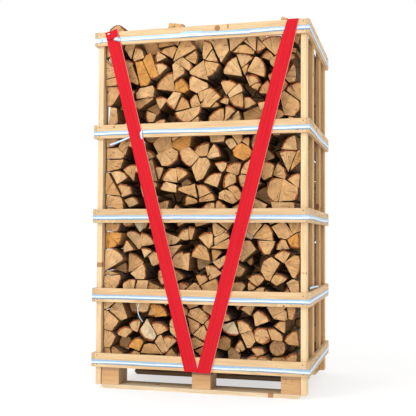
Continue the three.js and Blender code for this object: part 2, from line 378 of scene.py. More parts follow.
def board_colours(name):
    # painted shade under the crate for the pallet's middle pieces
    if name.startswith(("base_rail_middle", "block_middle", "stringer_middle", "deck")):
        return PAINTED_SHADE_UNDER_PALLET
    if name.startswith("base_rail"):
        return PALE_RAIL
    if name.startswith(("block", "stringer")):
        return PALLET_WOOD
    # painted light on the two front posts, painted shade on the other posts
    if name in ("post_left_1", "post_right_1"):
        return PAINTED_LIGHT_POST
    return PAINTED_SHADE_POST if name.startswith("post") else CRATE_PINE


def tinted(colour, shade):
    return tuple(min(1.0, c * shade) for c in colour[:3]) + (1,)


def finish_timber():
    tints = np.random.default_rng(41)
    count = 0
    for name, timber in sorted(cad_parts.items()):
        if name.startswith(("strap", "webbing", "firewood")):
            continue
        shade = tints.uniform(0.92, 1.05)
        seed = 0.37 + 0.61 * count
        colours = [tinted(c, shade) for c in board_colours(name)]
        timber.data.materials.clear()
        timber.data.materials.append(sawn_wood(name, seed, colours, 0.72))
        count += 1
    return count


print(finish_timber(), "sawn pieces finished")

# %% [markdown]
# ## Keeping a finished shape
#
# New pieces are built as a bmesh and then kept as an object at the origin. Each one is parented to the root
# body, gets its finishes, and hides the plain solids it stands for.


# %% Keep a piece
def keep(bm, name, finishes, stands_for=()):
    mesh = bpy.data.meshes.new(name)
    bm.to_mesh(mesh)
    bm.free()
    for finish in finishes:
        mesh.materials.append(finish)
    piece = bpy.data.objects.new(name, mesh)
    bpy.context.collection.objects.link(piece)
    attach(piece, "root")
    if stands_for:
        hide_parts(*stands_for)
    return piece


def count_triangles(piece):
    piece.data.calc_loop_triangles()
    return len(piece.data.loop_triangles)


print("pieces ride on root")

# %% [markdown]
# ## The wood of a split log
#
# A split log shows three surfaces. Its sawn ends have growth rings round the pith, fine rays out from it
# and a few drying cracks along the rays. Its split faces are fibrous and run along the grain. Its bark is
# furrowed outside and reddish where the saw has cut through it.
#
# All three read one UV map that holds, in metres, how far each point lies from the log's own pith. The
# rings are then the same circles on the end and on the split faces, as in real wood. A colour attribute
# gives each log its own brightness, warmth and seed.


# %% Log figure
def make_log_figure():
    group, given, result = new_group(
        "log figure",
        [("Place", "Vector"), ("Pith", "Vector"), ("Seed", "Float")],
        [("Rings", "Float"), ("Rays", "Float"), ("Checks", "Float"), ("Distance", "Float"),
         ("Fibre", "Float")],
    )
    parts = node(group, "SeparateXYZ", {0: given["Pith"]}).outputs
    flat = node(group, "CombineXYZ", {0: parts[0], 1: parts[1], 2: 0.0}).outputs[0]
    away = node(group, "VectorMath", {0: flat}, operation="LENGTH").outputs["Value"]
    ray = node(group, "VectorMath", {0: flat}, operation="NORMALIZE").outputs[0]
    seed_step = node(group, "CombineXYZ", {0: 0.0, 1: 0.0, 2: maths(group, "MULTIPLY", given["Seed"], 90.0)})
    ring_place = vector_maths(group, "ADD", stretched(group, flat, 14.0, 14.0, 0.0), seed_step.outputs[0])
    wobble = maths(group, "MULTIPLY", blotches(group, ring_place, 1.0, 2.0), 0.012)
    turn = maths(group, "MULTIPLY", maths(group, "ADD", away, wobble), math.tau / 0.0034)
    rings = maths(group, "MULTIPLY_ADD", maths(group, "SINE", turn), 0.5, 0.5)

    far_step = maths(group, "MULTIPLY_ADD", away, 5.0, maths(group, "MULTIPLY", given["Seed"], 50.0))
    ray_place = vector_maths(group, "ADD", stretched(group, ray, 16.0, 16.0, 0.0),
                             node(group, "CombineXYZ", {0: 0.0, 1: 0.0, 2: far_step}).outputs[0])
    rays = blotches(group, ray_place, 1.0, 3.0, 0.65)
    check_place = vector_maths(group, "MULTIPLY", ray_place, (0.22, 0.22, 1.0))
    line = maths(group, "ABSOLUTE", maths(group, "SUBTRACT", blotches(group, check_place, 1.0, 1.0), 0.5))
    checks = ramp(group, line, 0.004, 0.011, 1.0, 0.0)
    depth = node(group, "SeparateXYZ", {0: given["Place"]}).outputs[1]
    fibre_place = node(group, "CombineXYZ", {0: parts[0], 1: parts[1],
                                             2: maths(group, "MULTIPLY", depth, 0.03)}).outputs[0]
    fibre = blotches(group, fibre_place, 320.0, 3.0, 0.6)
    group.links.new(rings, result["Rings"])
    group.links.new(rays, result["Rays"])
    group.links.new(checks, result["Checks"])
    group.links.new(away, result["Distance"])
    group.links.new(fibre, result["Fibre"])
    return group


log_figure = make_log_figure()
print("log figure has", len(log_figure.nodes), "nodes")

# %% Log finishes
END_WOOD = (0.65, 0.405, 0.195, 1)
DULL_END_WOOD = (0.56, 0.285, 0.102, 1)
GOLDEN_WOOD = (0.62, 0.285, 0.07, 1)
PALE_WOOD = (0.66, 0.50, 0.31, 1)
# partly painted shade: the split faces' dark brown is partly their own colour and partly painted shade for
# sides that lie in the gaps between logs
SPLIT_WOOD_AND_SHADE = (0.27, 0.14, 0.056, 1)
BARK_OUTSIDE = (0.085, 0.055, 0.038, 1)
BARK_CUT = (0.37, 0.11, 0.03, 1)
LICHEN = (0.24, 0.23, 0.20, 1)


def log_sockets(tree):
    """Where a point lies, how far from its pith, and its log's brightness, warmth and seed."""
    place = node(tree, "TexCoord").outputs["Object"]
    pith = node(tree, "UVMap", uv_map="from the pith").outputs[0]
    tone = node(tree, "Attribute", attribute_name="tone")
    parts = node(tree, "SeparateColor", {0: tone.outputs["Color"]}).outputs
    figure = put_group(tree, log_figure, {"Place": place, "Pith": pith, "Seed": parts[2]})
    return place, figure, parts


def log_shade(tree, colour, tone, darkest, brightest):
    shade = maths(tree, "MULTIPLY_ADD", tone[0], brightest - darkest, darkest)
    return mix(tree, 1.0, colour, shade, "MULTIPLY")


def end_grain():
    finish, tree, shader = new_finish("end grain", specular=0.2)
    place, figure, tone = log_sockets(tree)
    warm = ramp(tree, tone[1], 0.55, 0.95)
    pale = ramp(tree, tone[1], 0.3, 0.02)
    colour = mix(tree, tone[0], DULL_END_WOOD, END_WOOD)
    colour = mix(tree, warm, mix(tree, pale, colour, PALE_WOOD), GOLDEN_WOOD)
    cloud = ramp(tree, blotches(tree, place, 30.0, 4.0, 0.6), 0.3, 0.7, 0.82, 1.12)
    colour = mix(tree, 1.0, colour, cloud, "MULTIPLY")
    rings = maths(tree, "MULTIPLY_ADD", figure["Rings"], -0.13, 1.06)
    colour = mix(tree, 1.0, colour, rings, "MULTIPLY")
    rays = ramp(tree, figure["Rays"], 0.3, 0.7, 0.84, 1.1)
    colour = mix(tree, 1.0, colour, rays, "MULTIPLY")
    heart = ramp(tree, figure["Distance"], 0.035, 0.008, 0.0, 0.22)
    colour = mix(tree, heart, colour, (0.40, 0.20, 0.07, 1))
    colour = log_shade(tree, colour, tone, 0.95, 1.05)
    colour = mix(tree, maths(tree, "MULTIPLY", figure["Checks"], 0.75), colour, (0.09, 0.045, 0.02, 1))
    feed(tree, shader["Base Color"], colour)
    shader["Roughness"].default_value = 0.85
    saw = blotches(tree, stretched(tree, place, 1.0, 1.0, 9.0), 60.0, 3.0)
    height = maths(tree, "MULTIPLY_ADD", figure["Rings"], 0.2, maths(tree, "MULTIPLY", saw, 0.5))
    height = maths(tree, "SUBTRACT", height, figure["Checks"])
    raise_surface(tree, shader, height, 0.0012)
    return finish


def split_face():
    finish, tree, shader = new_finish("split face", specular=0.2)
    place, figure, tone = log_sockets(tree)
    streaks = ramp(tree, figure["Fibre"], 0.3, 0.72, 0.62, 1.25)
    # the dark base colour here carries painted shade as well as the wood's colour
    colour = mix(tree, 1.0, SPLIT_WOOD_AND_SHADE, streaks, "MULTIPLY")
    warm = ramp(tree, tone[1], 0.6, 0.95, 0.0, 0.6)
    colour = mix(tree, warm, colour, GOLDEN_WOOD)
    cloud = blotches(tree, stretched(tree, place, 22.0, 5.0, 22.0), 1.0, 4.0, 0.6)
    colour = mix(tree, ramp(tree, cloud, 0.45, 0.75, 0.0, 0.5), colour, (0.26, 0.15, 0.075, 1))
    colour = log_shade(tree, colour, tone, 0.7, 1.2)
    feed(tree, shader["Base Color"], colour)
    shader["Roughness"].default_value = 0.88
    splinter = blotches(tree, stretched(tree, place, 90.0, 6.0, 90.0), 1.0, 4.0, 0.6)
    height = maths(tree, "MULTIPLY_ADD", figure["Fibre"], 0.4, splinter)
    raise_surface(tree, shader, height, 0.004)
    return finish


def bark():
    finish, tree, shader = new_finish("bark", specular=0.15)
    place, figure, tone = log_sockets(tree)
    facing = node(tree, "SeparateXYZ", {0: node(tree, "TexCoord").outputs["Normal"]}).outputs[1]
    cut = ramp(tree, maths(tree, "ABSOLUTE", facing), 0.55, 0.85)
    cloud = blotches(tree, place, 55.0, 5.0, 0.65)
    outside = mix(tree, ramp(tree, cloud, 0.35, 0.7), BARK_OUTSIDE, (0.19, 0.13, 0.085, 1))
    moss = ramp(tree, blotches(tree, place, 14.0, 4.0, 0.6), 0.56, 0.66, 0.0, 0.55)
    outside = mix(tree, moss, outside, LICHEN)
    rim = mix(tree, ramp(tree, cloud, 0.35, 0.65), BARK_CUT, (0.19, 0.055, 0.02, 1))
    colour = mix(tree, cut, outside, rim)
    feed(tree, shader["Base Color"], log_shade(tree, colour, tone, 0.8, 1.25))
    shader["Roughness"].default_value = 0.92
    furrows = node(tree, "TexVoronoi", {"Vector": stretched(tree, place, 70.0, 18.0, 70.0), "Scale": 1.0},
                   feature="DISTANCE_TO_EDGE").outputs["Distance"]
    height = maths(tree, "MULTIPLY_ADD", ramp(tree, furrows, 0.0, 0.25), 0.7,
                   maths(tree, "MULTIPLY", cloud, 0.6))
    raise_surface(tree, shader, height, 0.005)
    return finish


log_finishes = [end_grain(), split_face(), bark()]
print("log finishes:", [finish.name for finish in log_finishes])

# %% [markdown]
# ## Stacking the firewood
#
# Firewood is made by sawing a trunk into short rounds and splitting them with an axe, and it is stacked so
# tightly that each log is shaped like the space it fills. Both facts give the way to make it. First the
# open front is shared out between spots that keep an even distance. The space of one spot is bounded by
# the lines halfway to its neighbours. Then each space is split in two or three by an axe line.
#
# Each log starts as a full round of a trunk, with its pith at one corner of its space and its bark where
# the round is widest. The same lines then cut the round. That leaves quarters, wedges and half rounds, with
# flat split faces, a curved side with bark, and a thin dark gap to the next log.
#
# The spots come from Lloyd's method: scatter many samples, give each to its nearest spot, and move every
# spot to the middle of its samples. A few rounds are enough, because a perfect spread would look like a
# honeycomb.

# %% Share out the space
ROW_SEEDS = {"front": 11, "middle": 17, "back": 29}
STACK_LEFT, STACK_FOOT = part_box("firewood_row_front")[0][0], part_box("firewood_row_front")[0][2]
STACK_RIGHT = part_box("firewood_row_front")[1][0]
STACK_TOPS = {"front": 1.957, "middle": 1.986, "back": 1.955}
SPOT_SPACING = 0.113
FINE_SPACING = 0.094  # near the foot, where the wood is smaller
FINE_BELOW = 0.55
PACKED_SIDE = {"front": -1, "middle": -1, "back": 1}  # where a row is packed close along the posts


def spread_spots(draw, top):
    wide, high = STACK_RIGHT - STACK_LEFT, top - STACK_FOOT
    samples = draw.uniform((STACK_LEFT, STACK_FOOT), (STACK_RIGHT, top), (16000, 2))
    kept_share = np.where(samples[:, 1] < FINE_BELOW, 1.0, (FINE_SPACING / SPOT_SPACING) ** 2)
    samples = samples[draw.uniform(size=len(samples)) < kept_share]
    low_area = wide * (FINE_BELOW - STACK_FOOT)
    count = low_area / FINE_SPACING**2 + (wide * high - low_area) / SPOT_SPACING**2
    spots = samples[draw.choice(len(samples), int(count), replace=False)]
    for _ in range(3):
        nearest = np.argmin(((samples[:, None] - spots[None]) ** 2).sum(2), axis=1)
        for i in range(len(spots)):
            own = samples[nearest == i]
            if len(own):
                spots[i] = own.mean(axis=0)
    return spots


def flat(x, z):
    return Vector((x, 0.0, z))


def space_round(spots, i, draw, row):
    """The lines that bound one spot's space, each as a point and the direction out over it."""
    here = flat(*spots[i])
    gaps = np.hypot(*(spots - spots[i]).T)
    lines = []
    for j in np.argsort(gaps)[1:15]:
        other = flat(*spots[j])
        lines.append(((here + other) / 2, (other - here).normalized()))
    for side, edge in ((-1, STACK_LEFT), (1, STACK_RIGHT)):
        packed = side == PACKED_SIDE[row]
        clear = draw.uniform(0, 0.006) if packed else draw.beta(1.1, 2.0) * 0.04
        lean = draw.normal(0, 0.03 if packed else 0.12)
        lines.append((flat(edge - side * clear, here.z), flat(side, lean).normalized()))
    lines.append((flat(here.x, STACK_FOOT + 0.0005), flat(0, -1)))
    uneven = draw.uniform(-0.001, 0.008) if row == "middle" else draw.uniform(-0.02, 0.01)
    lean = draw.normal(0, 0.03 if row == "middle" else 0.12)
    lines.append((flat(here.x, STACK_TOPS[row] + uneven), flat(lean, 1).normalized()))
    return lines


def trim(bm, lines):
    for point, outward in lines:
        everything = bm.verts[:] + bm.edges[:] + bm.faces[:]
        bmesh.ops.bisect_plane(bm, geom=everything, dist=1e-6, plane_co=point, plane_no=outward,
                               clear_outer=True)


def outline(lines, centre):
    """The corners of the space inside the lines, in order."""
    bm = bmesh.new()
    standing = Matrix.Translation(centre) @ Matrix.Rotation(math.pi / 2, 4, "X")
    bmesh.ops.create_circle(bm, cap_ends=True, radius=0.35, segments=8, matrix=standing)
    trim(bm, lines)
    corners = [v.co.copy() for face in bm.faces for v in face.verts]
    bm.free()
    return corners


def middle_of(corners):
    return sum(corners, Vector()) / len(corners)


def area_of(corners):
    pairs = zip(corners, corners[1:] + corners[:1])
    return abs(sum(a.x * b.z - b.x * a.z for a, b in pairs)) / 2


def longest_way(corners):
    return max((b - a for a in corners for b in corners), key=lambda way: way.length)


LOG_AREA = 0.0062


def split(lines, centre, draw, logs=None):
    """Splits a space with axe lines until each part is about one log big."""
    corners = outline(lines, centre)
    if len(corners) < 3:
        return []
    if logs is None:
        logs = max(1, min(3, round(area_of(corners) / LOG_AREA * draw.uniform(0.75, 1.15))))
    if logs == 1:
        return [(lines, corners)]
    way = longest_way(corners).normalized()
    turn = draw.normal(0, 0.45)
    normal = Matrix.Rotation(turn, 3, "Y") @ way
    point = middle_of(corners) + way * draw.uniform(-0.018, 0.018)
    first = split(lines + [(point, normal)], centre, draw, logs // 2)
    second = split(lines + [(point, -normal)], centre, draw, logs - logs // 2)
    return first + second


print("a log's end is about", round(1e4 * LOG_AREA), "square centimetres")

# %% [markdown]
# ## Cutting one log
#
# `cut_log` does the splitting. The round is a disc with an inner disc inset into it, so the ring between
# them is the bark. The lines cut both, the face is pulled out to the log's length, and the long edges are
# divided and nudged so that a split face isn't a perfect plane. A narrow inset round each end is the worn
# edge that catches light.
#
# Log ends aren't flush: each log lies a little further out or in, and its saw cut is a little off square.

# %% Cut one log
ROUND_SIDES = 44
WEDGE_ANGLES = (72, 116)  # degrees between the two split faces
EDGE_BAND = 0.012  # a log this near its row's packed side is set tight, so that little daylight passes
ROW_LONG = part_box("firewood_row_front")[1][1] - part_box("firewood_row_front")[0][1]


def distance_to_side(point, a, b):
    way = b - a
    share = max(0.0, min(1.0, (point - a).dot(way) / way.length_squared))
    return (point - a - way * share).length


def reach(corners, pith, near_sides):
    """How far the far sides and the furthest corner lie from the pith."""
    count = len(corners)
    far = max((c - pith).length for c in corners)
    sides = [(corners[i], corners[(i + 1) % count]) for i in range(count) if i not in near_sides]
    near = min((distance_to_side(pith, a, b) for a, b in sides), default=far)
    return max(near, 0.6 * far), far


def wedge_corner(corners, draw):
    """The corner that suits a pith best: a sharp one, mostly low down, because bark is laid upwards."""
    centre = middle_of(corners)
    count = len(corners)
    upward = draw.uniform(-0.1, 1.5)
    whims = draw.normal(0, 0.35, count)

    def fault(i):
        to_last = corners[i - 1] - corners[i]
        to_next = corners[(i + 1) % count] - corners[i]
        out = (centre - corners[i]).normalized()
        return to_last.angle(to_next) - upward * out.z + whims[i]

    return min(range(count), key=fault)


def axe_lines(corners, i, pith, draw):
    """Two split faces that meet in the pith, closer together than the space's sides if those are wide."""
    sides = [(c - corners[i]).normalized() for c in (corners[i - 1], corners[(i + 1) % len(corners)])]
    spare = max(0.0, sides[0].angle(sides[1]) - math.radians(draw.uniform(*WEDGE_ANGLES)))
    share = draw.uniform(0.2, 0.8)
    lines = []
    for side, inward in zip(sides, (spare * share, spare * (1 - share))):
        out = flat(side.z, -side.x)
        if out.dot(middle_of(corners) - corners[i]) > 0:
            out = -out
        lines.append((pith, (out * math.cos(inward) + side * math.sin(inward)).normalized()))
    return lines


def choose_round(corners, draw, kind):
    """Where the pith lies, how far out the bark is, and the split faces through the pith."""
    centre = middle_of(corners)
    count = len(corners)
    if kind == "wedge":
        i = wedge_corner(corners, draw)
        pith = corners[i] + (corners[i] - centre).normalized() * draw.uniform(-0.004, 0.004)
        near, far = reach(corners, pith, (i, (i - 1) % count))
        share = draw.uniform(-0.12, 0.08) if draw.uniform() < 0.5 else draw.uniform(0.08, 0.4)
        return pith, near + (far - near) * share, axe_lines(corners, i, pith, draw)
    if kind == "slab":
        i = max(range(count), key=lambda k: (corners[k] - corners[(k + 1) % count]).length)
        pith = (corners[i] + corners[(i + 1) % count]) / 2
        return pith, draw.uniform(0.72, 0.88) * max((c - pith).length for c in corners), []
    if kind == "round":
        return centre, draw.uniform(0.72, 0.84) * max((c - centre).length for c in corners), []
    if kind == "filler":
        return centre + flat(*draw.uniform(-0.06, 0.06, 2)), 0.3, []
    if kind == "outermost":
        pith = max(corners, key=lambda c: abs(c.x))
        outer = max((c - pith).length for c in corners if abs(c.x) > STACK_RIGHT - 0.03)
        far = max((c - pith).length for c in corners)
        return pith, max(1.04 * outer, draw.uniform(0.76, 0.95) * far), []
    if kind == "barked":
        side = math.copysign(1, centre.x)
        radius = draw.uniform(0.09, 0.15)
        outer = max(side * c.x for c in corners)
        return flat(side * (outer - radius), centre.z + draw.uniform(-0.015, 0.015)), radius, []
    pith = centre + flat(*draw.uniform(-0.12, 0.12, 2))
    turned = draw.uniform(0, math.tau)
    side = flat(math.cos(turned), math.sin(turned))
    reach_out = max((c - centre).dot(side) for c in corners)
    chopped = [(centre + side * reach_out * draw.uniform(0.6, 1.0), side)]
    return pith, 1.2 * max((c - pith).length for c in corners), chopped


def choose_kind(row, corners, at_edge, draw):
    centre = middle_of(corners)
    if row == "middle" and max(c.z for c in corners) > STACK_TOPS[row] - 0.04:
        return "filler"
    if at_edge and row == "front":
        return draw.choice(("outermost", "filler"), p=(0.75, 0.25))
    if at_edge:
        return draw.choice(("outermost", "barked"), p=(0.3, 0.7))
    if max(abs(c.x) for c in corners) > STACK_RIGHT - 0.045 and draw.uniform() < 0.4:
        return "barked"
    if row == "middle":
        return "filler"
    if centre.z < FINE_BELOW - 0.05:
        return draw.choice(("wedge", "slab", "heart", "round"), p=(0.44, 0.3, 0.06, 0.2))
    return draw.choice(("wedge", "slab", "heart", "round"), p=(0.74, 0.14, 0.1, 0.02))


def loose_sides(lines, draw, tight=False):
    """Moves each side of a space in by its own gap and turns it a little, so that no two gaps are alike."""
    moved = []
    for point, outward in lines:
        gap = draw.uniform(0.0008, 0.0045) if tight else 0.001 + draw.beta(1.0, 2.8) * 0.0075
        turn = 0.0 if tight else draw.normal(0, 0.04)
        moved.append((point - outward * gap, Matrix.Rotation(turn, 3, "Y") @ outward))
    return moved


def loosen_edges(bm, draw, amount):
    """Divides the long straight sides of the flat shape and nudges the new points."""
    sides = [e for e in bm.edges if e.is_boundary and e.calc_length() > 0.03]
    made = bmesh.ops.subdivide_edges(bm, edges=sides, cuts=2)
    fresh = {v for v in made["geom_inner"] if isinstance(v, bmesh.types.BMVert)}
    for v in fresh:
        v.co += flat(*draw.normal(0, amount, 2))


def notch(bm, centre, draw):
    """A splinter has come out of one side."""
    sides = sorted((e for e in bm.edges if e.is_boundary), key=lambda e: -e.calc_length())
    made = bmesh.ops.subdivide_edges(bm, edges=sides[:1], cuts=3)
    fresh = [v for v in made["geom_inner"] if isinstance(v, bmesh.types.BMVert)]
    fresh.sort(key=lambda v: (v.co - centre).length)
    way = centre - fresh[0].co
    fresh[0].co += way * draw.uniform(0.35, 0.65)


def pull_out(bm, long, draw):
    made = bmesh.ops.extrude_face_region(bm, geom=bm.faces[:])
    far = [v for v in made["geom"] if isinstance(v, bmesh.types.BMVert)]
    bmesh.ops.translate(bm, vec=(0, long, 0), verts=far)
    bmesh.ops.recalc_face_normals(bm, faces=bm.faces[:])
    lengthwise = [e for e in bm.edges if abs(e.verts[0].co.y - e.verts[1].co.y) > long / 2]
    bmesh.ops.subdivide_edges(bm, edges=lengthwise, cuts=1, use_grid_fill=True)
    for v in bm.verts:
        if 0.001 < v.co.y < long - 0.001:
            v.co += flat(*draw.normal(0, 0.0018, 2))


def shape_ends(bm, centre, long, draw):
    ends = [f for f in bm.faces if abs(f.normal.y) > 0.9]
    bmesh.ops.inset_region(bm, faces=ends, thickness=0.0016, depth=0.0009, use_even_offset=True)
    slant = draw.normal(0, 0.035, 4)
    for v in bm.verts:
        off = v.co - centre
        if v.co.y < 0.01:
            v.co.y += slant[0] * off.x + slant[1] * off.z
        elif v.co.y > long - 0.01:
            v.co.y += slant[2] * off.x + slant[3] * off.z


def any_tone(draw):
    """A log's brightness, warmth and seed."""
    return float(np.clip(draw.normal(0.56, 0.25), 0, 1)), draw.uniform(0.3, 0.58), draw.uniform(), 1


def paint_log(bm, pith, bark_from, tone_values):
    """Sorts the faces into end grain, split face and bark, and writes the map from the pith."""
    pith_map = bm.loops.layers.uv["from the pith"]
    tone = bm.verts.layers.float_color["tone"]
    for face in bm.faces:
        if abs(face.normal.y) < 0.75:
            off = face.calc_center_median() - pith
            face.material_index = 2 if math.hypot(off.x, off.z) > bark_from else 1
        for loop in face.loops:
            loop[pith_map].uv = (loop.vert.co.x - pith.x, loop.vert.co.z - pith.z)
    for v in bm.verts:
        v[tone] = tone_values


def cut_log(lines, corners, draw, kind, tight, tone_values, shorter):
    """One log between y = 0 and its length, or None where the space is too small for one."""
    bm = bmesh.new()
    bm.loops.layers.uv.new("from the pith")
    bm.verts.layers.float_color.new("tone")
    centre = middle_of(corners)
    pith, radius, split_lines = choose_round(corners, draw, kind)
    bark_thick = draw.uniform(0.0045, 0.0095)
    standing = Matrix.Translation(pith) @ Matrix.Rotation(math.pi / 2, 4, "X")
    bmesh.ops.create_circle(bm, cap_ends=True, radius=radius, segments=ROUND_SIDES, matrix=standing)
    ring = bmesh.ops.inset_region(bm, faces=bm.faces[:], thickness=bark_thick, use_boundary=True)
    for face in ring["faces"]:
        face.material_index = 2
    for v in bm.verts:
        off = v.co - pith
        v.co += off.normalized() * 0.0055 * (noise.noise(off * 60 + centre * 9) - 0.2)
    trim(bm, loose_sides(lines, draw, tight) + split_lines)
    if not bm.faces or sum(f.calc_area() for f in bm.faces) < 0.0005:
        bm.free()
        return None
    loosen_edges(bm, draw, 0.0011)
    if draw.uniform() < 0.06:
        notch(bm, centre, draw)
    long = ROW_LONG - draw.uniform(0.004, 0.03) - shorter
    pull_out(bm, long, draw)
    shape_ends(bm, centre, long, draw)
    if tone_values is None:
        tone_values = any_tone(draw)
    paint_log(bm, pith, radius - 1.2 * bark_thick, tone_values)
    lean = Matrix.Rotation(draw.normal(0, 0.006), 3, "X") @ Matrix.Rotation(draw.normal(0, 0.006), 3, "Z")
    if not tight:
        lean = lean @ Matrix.Rotation(draw.normal(0, 0.04), 3, "Y")
    middle = centre + Vector((0, long / 2, 0))
    bmesh.ops.rotate(bm, cent=middle, matrix=lean, verts=bm.verts[:])
    return bm


print("a log is", round(ROW_LONG * 1000), "mm long at most")

# %% [markdown]
# ## The three rows
#
# The rows are stacked from the same rule with different seeds. Each row is kept as four pieces, one for
# each height between two rings, so that no piece is too heavy to handle. In the front row some logs lie
# further out than others, which shows their dark undersides from below. A log that lies further in is
# shorter by as much, so that no log reaches into the next row. The middle row is hidden, so most of its
# logs simply fill their spaces and let no daylight through the stack.

# %% Stack the rows
TIER_TOPS = (0.51, 0.946, 1.412, 9.0)
DAYLIGHT = [flat(-0.54, 1.795), flat(-0.54, 1.69), flat(-0.54, 1.53)]
GOLDEN_LOGS = [flat(-0.312, 1.756), flat(-0.12, 1.66), flat(-0.281, 1.47), flat(-0.095, 1.332),
               flat(-0.122, 1.049), flat(-0.435, 1.035), flat(0.218, 1.254), flat(-0.498, 0.824),
               flat(0.487, 0.781), flat(-0.202, 0.445), flat(-0.368, 0.293), flat(0.466, 0.272)]
PALE_LOGS = [flat(-0.322, 0.338), flat(0.024, 0.361), flat(-0.539, 0.729), flat(-0.369, 0.951),
             flat(0.19, 0.34), flat(0.225, 0.859)]
NEAR_A_PLACE = 0.042
NEAR_DAYLIGHT = 0.045
DAYLIGHT_WIDE = 0.018
SMALL_AREA = 0.0032
SKIPPED_SHARE = 0.14  # of the small spaces in the front row, which stay empty
PROUD = 0.004  # how far the outermost ends stand out from the stack's face
TOP_LOGS = {  # middle, width, top and kind
    "front": [(-0.485, 0.095, 2.017, "slab"), (-0.138, 0.105, 2.008, "heart"),
              (-0.066, 0.03, 1.992, "wedge"), (0.462, 0.038, 1.999, "heart")],
    "middle": [(-0.33, 0.09, 1.999, "slab"), (0.22, 0.08, 2.002, "heart")],
    "back": [(-0.06, 0.1, 1.992, "slab"), (0.39, 0.07, 1.984, "heart")],
}


def chosen_tone(centre, draw):
    """Golden sapwood logs and pale dry ones lie in known places in the front row."""
    for places, warmth in ((GOLDEN_LOGS, 0.95), (PALE_LOGS, 0.03)):
        if any((centre - place).length < NEAR_A_PLACE for place in places):
            return draw.uniform(0.45, 0.7), warmth, draw.uniform(), 1
    return any_tone(draw)


def new_log_store():
    store = bmesh.new()
    store.loops.layers.uv.new("from the pith")
    store.verts.layers.float_color.new("tone")
    return store


def add_to(store, log, scratch):
    log.to_mesh(scratch)
    log.free()
    store.from_mesh(scratch)


def depth_of(tight, draw):
    """How far a log's end lies behind the stack's face. The log is that much shorter, to stay in its row."""
    if tight:
        return draw.uniform(0.0, 0.018)
    set_back = draw.uniform(0.03, 0.11) if draw.uniform() < 0.1 else 0.0
    return draw.beta(1.1, 1.9) * 0.036 + set_back


def top_spaces(row):
    """The spaces of the logs that lie on top of the stack and show above the uppermost ring."""
    for x, wide, top, kind in TOP_LOGS[row]:
        foot = STACK_TOPS[row] + 0.013
        corners = [flat(x - wide / 2, foot), flat(x + wide / 2, foot), flat(x + wide / 2, top),
                   flat(x - wide / 2, top)]
        lines = [(corners[0], flat(0, -1)), (corners[1], flat(1, 0.04)), (corners[2], flat(0.12, 1)),
                 (corners[3], flat(-1, 0.2))]
        yield lines, corners, kind


def stack_row(row, seed):
    draw = np.random.default_rng(seed)
    spots = spread_spots(draw, STACK_TOPS[row])
    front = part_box("firewood_row_" + row)[0][1]
    stores = [new_log_store() for _ in TIER_TOPS]
    scratch = bpy.data.meshes.new("scratch")
    spaces = []
    for i, (x, z) in enumerate(spots):
        for part, corners in split(space_round(spots, i, draw, row), flat(x, z), draw):
            spaces.append((part, corners, None))
    count = 0
    for part, corners, kind in spaces + list(top_spaces(row)):
        centre = middle_of(corners)
        edge = PACKED_SIDE[row] * STACK_RIGHT
        at_edge = min(abs(c.x - edge) for c in corners) < EDGE_BAND
        may_be_empty = row == "front" and kind is None and area_of(corners) < SMALL_AREA and not at_edge
        if may_be_empty and draw.uniform() < SKIPPED_SHARE:
            continue
        if row == "front" and any((centre - hole).length < NEAR_DAYLIGHT for hole in DAYLIGHT):
            part = part + [(flat(STACK_LEFT + DAYLIGHT_WIDE, centre.z), flat(-1, 0.1))]
        kind = kind or choose_kind(row, corners, at_edge, draw)
        tight = at_edge or kind == "filler"
        free = depth_of(tight, draw)
        tone_values = chosen_tone(centre, draw) if row == "front" else None
        log = cut_log(part, corners, draw, kind, tight, tone_values, free)
        if log is None:
            continue
        start = {"front": front - PROUD + free, "middle": front + free, "back": front + PROUD}[row]
        bmesh.ops.translate(log, vec=(0, start, 0), verts=log.verts[:])
        tier = next(t for t, top in enumerate(TIER_TOPS) if centre.z < top)
        add_to(stores[tier], log, scratch)
        count += 1
    bpy.data.meshes.remove(scratch)
    return stores, count


def keep_rows():
    total = 0
    for row, seed in ROW_SEEDS.items():
        stores, count = stack_row(row, seed)
        for tier, store in enumerate(stores):
            name = f"firewood_{row}_tier_{tier + 1}"
            piece = keep(store, name, log_finishes, ["firewood_row_" + row])
            print(name, count_triangles(piece), "triangles")
        total += count
    print(total, "logs stacked")


keep_rows()

# %% [markdown]
# ## Bands
#
# Steel strap and webbing are both long flat bands, so one helper makes both. It takes stations along the
# band: the middle, the direction across and the width. It lays a row of points at the first station,
# extrudes it once for each further station and puts each new point at its own share of the width. A UV map
# goes with it: how far across, from 0 to 1, and how far along, in metres. A Solidify modifier gives the
# thickness.


# %% Band helper
def band(stations, columns=8):
    bm = bmesh.new()
    share = bm.verts.layers.float.new("share")
    along = bm.verts.layers.float.new("along")
    middle, across, wide = stations[0]
    row = []
    for i in range(columns + 1):
        v = bm.verts.new(middle + across * (i / columns - 0.5) * wide)
        v[share] = i / columns
        row.append(v)
    edges = [bm.edges.new(pair) for pair in zip(row, row[1:])]
    run = 0.0
    for last, station in zip(stations, stations[1:]):
        run += (station[0] - last[0]).length
        middle, across, wide = station
        made = bmesh.ops.extrude_edge_only(bm, edges=edges)["geom"]
        edges = [e for e in made if isinstance(e, bmesh.types.BMEdge)]
        for v in (v for v in made if isinstance(v, bmesh.types.BMVert)):
            v.co = middle + across * (v[share] - 0.5) * wide
            v[along] = run
    band_map = bm.loops.layers.uv.new("band")
    for face in bm.faces:
        for loop in face.loops:
            loop[band_map].uv = (loop.vert[share], loop.vert[along])
    return bm, run


def thicken(piece, thick):
    solid = piece.modifiers.new("thickness", "SOLIDIFY")
    solid.thickness = thick
    solid.offset = 0.0


def quarter_turn(centre, r, start, sweep, steps=4):
    """Points of a round bend in the Y-Z plane, with the angle measured from +Y towards +Z."""
    for i in range(steps + 1):
        angle = math.radians(start + sweep * i / steps)
        yield centre + Vector((0, r * math.cos(angle), r * math.sin(angle)))


print("band helper ready")
